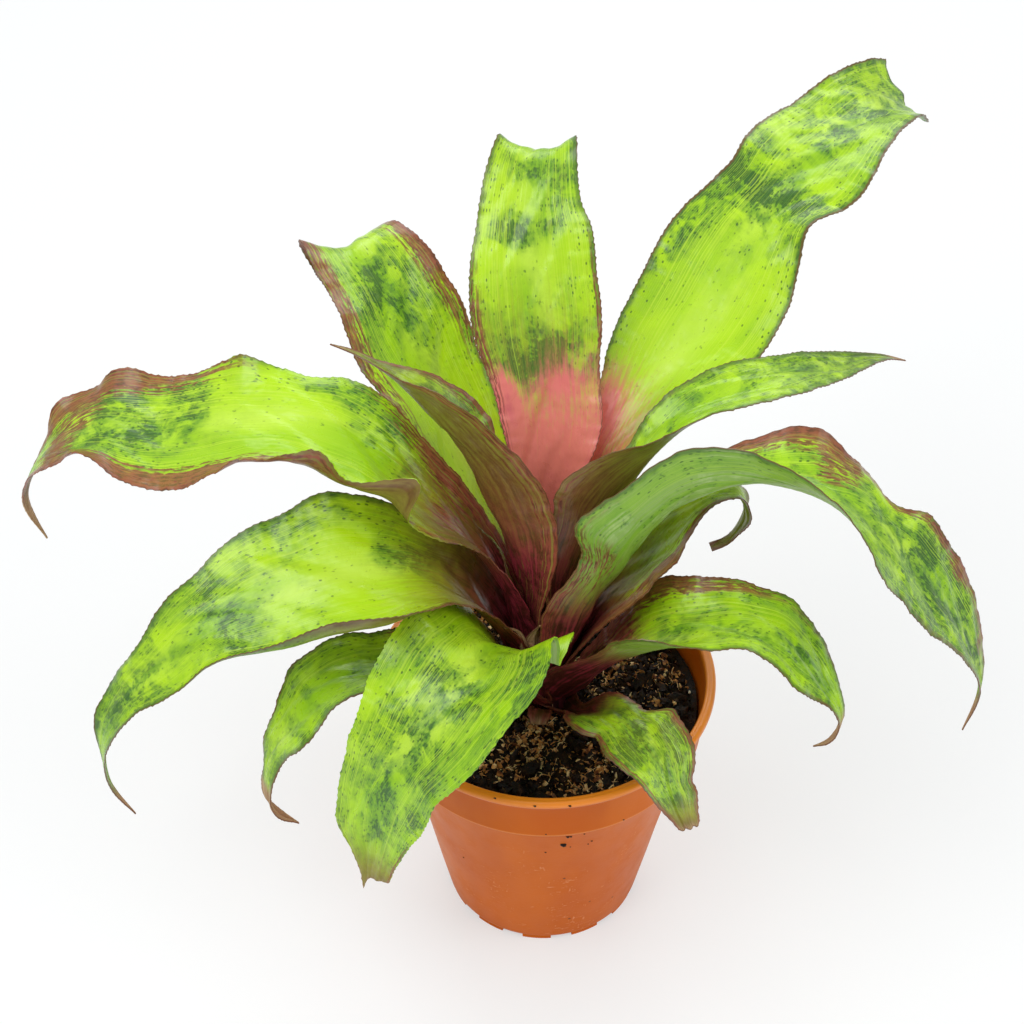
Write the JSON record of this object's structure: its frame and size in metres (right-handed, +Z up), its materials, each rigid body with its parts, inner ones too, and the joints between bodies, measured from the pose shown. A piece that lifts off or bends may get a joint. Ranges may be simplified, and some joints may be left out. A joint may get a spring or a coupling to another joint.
{
  "type": "potted earth star plant",
  "caption": "Rosette of long wavy strap leaves, mottled green and bronze, on a short stem in soil in a tapered plastic nursery pot with a collar and a rolled lip.",
  "frame": {"origin": "on the pot's axis, at the level of the surface that its feet stand on, 2 mm below the flat base plate between them", "axes": "+Z up along the pot's axis; +Y towards the back, where the longest leaf points back and right; +X to the right"},
  "size_m": [0.3349, 0.2765, 0.2741],
  "materials": {
    "pot_plastic": "satin",
    "potting_soil": "matt",
    "stem_tissue": "satin",
    "leaf_lime": "satin",
    "leaf_bronze": "satin"
  },
  "bodies": {
    "root": {"pot": "pot_plastic", "soil": "potting_soil", "stem": "stem_tissue", "leaf_left_long": "leaf_lime", "leaf_left_low": "leaf_lime", "leaf_back_left": "leaf_lime", "leaf_back_upright": "leaf_lime", "leaf_back_right_long": "leaf_lime", "leaf_right_narrow": "leaf_lime", "leaf_left_folded": "leaf_bronze", "leaf_right_arching": "leaf_lime", "leaf_right_hidden": "leaf_lime", "leaf_right_low": "leaf_lime", "leaf_front_small": "leaf_lime", "leaf_front_broad": "leaf_lime", "leaf_left_small": "leaf_lime", "leaf_stub": "leaf_bronze"}
  },
  "joints": []
}
